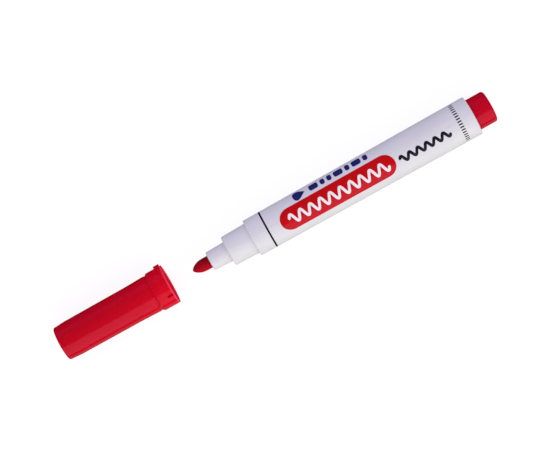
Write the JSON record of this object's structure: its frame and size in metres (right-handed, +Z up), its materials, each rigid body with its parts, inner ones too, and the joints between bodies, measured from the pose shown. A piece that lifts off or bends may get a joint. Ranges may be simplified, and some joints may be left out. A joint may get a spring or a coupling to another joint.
{
  "type": "whiteboard marker",
  "caption": "Bullet-tipped whiteboard marker lying open: white barrel with a stepped neck, red nib, red end plug, and its red pull-off cap in line in front of the nib.",
  "frame": {"origin": "middle of the bounding box's footprint, on the surface that the open marker and its cap lie on", "axes": "+X along the pen, from the cap's closed end to the end plug; +Z up; the pen and the cap share one axis"},
  "size_m": [0.1786, 0.016, 0.0152],
  "materials": {
    "white_barrel": "moulded semi-gloss",
    "red_plastic": "moulded gloss",
    "nib_fibre": "bonded felt wet with red ink",
    "ink_fibre": "fibre rod soaked with ink",
    "clear_film": "thin film",
    "liner_plastic": "soft moulded",
    "red_print": "printed ink film",
    "white_print": "printed ink film",
    "black_print": "printed ink film",
    "navy_print": "printed ink film"
  },
  "bodies": {
    "marker": {"barrel": "white_barrel", "nib": "nib_fibre", "reservoir_core": "ink_fibre", "reservoir_wrap": "clear_film", "end_plug": "red_plastic"},
    "cap": {"cap": "red_plastic", "cap_liner": "liner_plastic"}
  },
  "joints": [
    {"name": "cap_slide", "type": "slide", "parent": "marker", "child": "cap", "axis": [1, 0, 0], "range_m": [0, 0.03935]}
  ]
}
